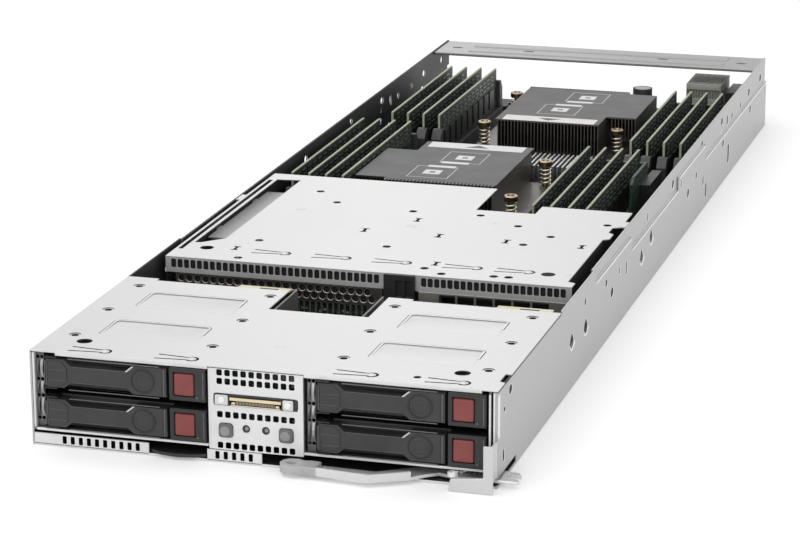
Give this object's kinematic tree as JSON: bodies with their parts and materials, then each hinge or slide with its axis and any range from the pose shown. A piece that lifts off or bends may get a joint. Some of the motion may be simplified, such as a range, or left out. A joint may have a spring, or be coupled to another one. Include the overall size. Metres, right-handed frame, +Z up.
{
  "type": "server node",
  "caption": "Half-width rack server node: open sheet-metal tray with front hot-swap drive carriers, a card cage, processor heatsinks, memory banks and an ejector lever.",
  "frame": {"origin": "centre of the underside of the tray's floor, midway between the walls and between the tray's front and rear edges", "axes": "+X to the right seen from the front, +Y from the drive bays to the rear, +Z up"},
  "size_m": [0.2193, 0.703, 0.0435],
  "materials": {
    "sheet_steel": "bright galvanised sheet, matt grain",
    "dark_steel": "darkened spring sheet",
    "charcoal_plastic": "fine moulded texture",
    "red_plastic": "dull moulded red",
    "black_plastic": "moulded black",
    "green_board": "solder mask over copper tracks",
    "drive_metal": "cast, lightly grained",
    "heatsink_metal": "stamped sheet fins",
    "processor_metal": "nickel plated",
    "brass_screw": "plated",
    "grey_plastic": "moulded grey",
    "connector_metal": "plated shell",
    "clear_plastic": "translucent moulding",
    "capacitor_can": "sleeved can",
    "screw_steel": "zinc plated"
  },
  "bodies": {
    "tray": {"bay_spring_strips": "dark_steel", "board_screws": "screw_steel", "bulk_capacitor": "capacitor_can", "cage_clip": "black_plastic", "card_heat_plate": "heatsink_metal", "chipset_heatsink": "heatsink_metal", "drive_backplanes": "green_board", "drive_cage": "sheet_steel", "drive_cage_cover": "sheet_steel", "drive_connectors": "black_plastic", "ejector_bracket": "sheet_steel", "ejector_pivot": "screw_steel", "expansion_bracket": "sheet_steel", "expansion_card": "green_board", "front_grille_panel": "sheet_steel", "front_io_board": "green_board", "front_io_connector": "connector_metal", "heatsink_front": "heatsink_metal", "heatsink_rear": "heatsink_metal", "heatsink_screws": "brass_screw", "heatsink_springs": "brass_screw", "memory_latches": "black_plastic", "memory_modules": "green_board", "memory_sockets": "black_plastic", "network_card": "green_board", "port_bracket": "sheet_steel", "power_connector": "black_plastic", "processor_sockets": "black_plastic", "processors": "processor_metal", "rear_connector": "grey_plastic", "rear_cross_bar": "sheet_steel", "riser_board": "green_board", "riser_cage_cover": "sheet_steel", "status_leds": "clear_plastic", "storage_block": "black_plastic", "storage_module": "green_board", "system_board": "green_board", "tray_base": "sheet_steel"},
    "carrier_1": {"carrier_1": "charcoal_plastic", "drive_1": "drive_metal"},
    "carrier_lever_1": {"carrier_lever_1": "charcoal_plastic"},
    "release_button_1": {"release_button_1": "red_plastic"},
    "carrier_2": {"carrier_2": "charcoal_plastic", "drive_2": "drive_metal"},
    "carrier_lever_2": {"carrier_lever_2": "charcoal_plastic"},
    "release_button_2": {"release_button_2": "red_plastic"},
    "carrier_3": {"carrier_3": "charcoal_plastic", "drive_3": "drive_metal"},
    "carrier_lever_3": {"carrier_lever_3": "charcoal_plastic"},
    "release_button_3": {"release_button_3": "red_plastic"},
    "carrier_4": {"carrier_4": "charcoal_plastic", "drive_4": "drive_metal"},
    "carrier_lever_4": {"carrier_lever_4": "charcoal_plastic"},
    "release_button_4": {"release_button_4": "red_plastic"},
    "ejector": {"ejector_lever": "sheet_steel", "ejector_tip": "clear_plastic"},
    "pull_tab": {"pull_tab": "black_plastic"},
    "power_button": {"power_button": "clear_plastic"},
    "identity_button": {"identity_button": "clear_plastic"}
  },
  "joints": [
    {"name": "carrier_1_slide", "type": "slide", "parent": "tray", "child": "carrier_1", "axis": [0, -1, 0], "range_m": [0, 0.09]},
    {"name": "carrier_lever_1_swing", "type": "hinge", "parent": "carrier_1", "child": "carrier_lever_1", "pos_m": [-0.09565, -0.34375, 0.03415], "axis": [0, 0, -1], "range_deg": [0, 50]},
    {"name": "release_button_1_press", "type": "slide", "parent": "carrier_1", "child": "release_button_1", "axis": [0, 1, 0], "range_m": [0, 0.002], "stiffness_N_per_m": 400},
    {"name": "carrier_2_slide", "type": "slide", "parent": "tray", "child": "carrier_2", "axis": [0, -1, 0], "range_m": [0, 0.09]},
    {"name": "carrier_lever_2_swing", "type": "hinge", "parent": "carrier_2", "child": "carrier_lever_2", "pos_m": [-0.09565, -0.34375, 0.01595], "axis": [0, 0, -1], "range_deg": [0, 50]},
    {"name": "release_button_2_press", "type": "slide", "parent": "carrier_2", "child": "release_button_2", "axis": [0, 1, 0], "range_m": [0, 0.002], "stiffness_N_per_m": 400},
    {"name": "carrier_3_slide", "type": "slide", "parent": "tray", "child": "carrier_3", "axis": [0, -1, 0], "range_m": [0, 0.09]},
    {"name": "carrier_lever_3_swing", "type": "hinge", "parent": "carrier_3", "child": "carrier_lever_3", "pos_m": [0.02885, -0.34375, 0.03415], "axis": [0, 0, -1], "range_deg": [0, 50]},
    {"name": "release_button_3_press", "type": "slide", "parent": "carrier_3", "child": "release_button_3", "axis": [0, 1, 0], "range_m": [0, 0.002], "stiffness_N_per_m": 400},
    {"name": "carrier_4_slide", "type": "slide", "parent": "tray", "child": "carrier_4", "axis": [0, -1, 0], "range_m": [0, 0.09]},
    {"name": "carrier_lever_4_swing", "type": "hinge", "parent": "carrier_4", "child": "carrier_lever_4", "pos_m": [0.02885, -0.34375, 0.01595], "axis": [0, 0, -1], "range_deg": [0, 50]},
    {"name": "release_button_4_press", "type": "slide", "parent": "carrier_4", "child": "release_button_4", "axis": [0, 1, 0], "range_m": [0, 0.002], "stiffness_N_per_m": 400},
    {"name": "ejector_swing", "type": "hinge", "parent": "tray", "child": "ejector", "pos_m": [0.087, -0.336, 0.00255], "axis": [0, 0, 1], "range_deg": [0, 50]},
    {"name": "pull_tab_slide", "type": "slide", "parent": "tray", "child": "pull_tab", "axis": [0, -1, 0], "range_m": [0, 0.06]},
    {"name": "power_button_press", "type": "slide", "parent": "tray", "child": "power_button", "axis": [0, 1, 0], "range_m": [0, 0.001], "stiffness_N_per_m": 400},
    {"name": "identity_button_press", "type": "slide", "parent": "tray", "child": "identity_button", "axis": [0, 1, 0], "range_m": [0, 0.001], "stiffness_N_per_m": 400}
  ]
}
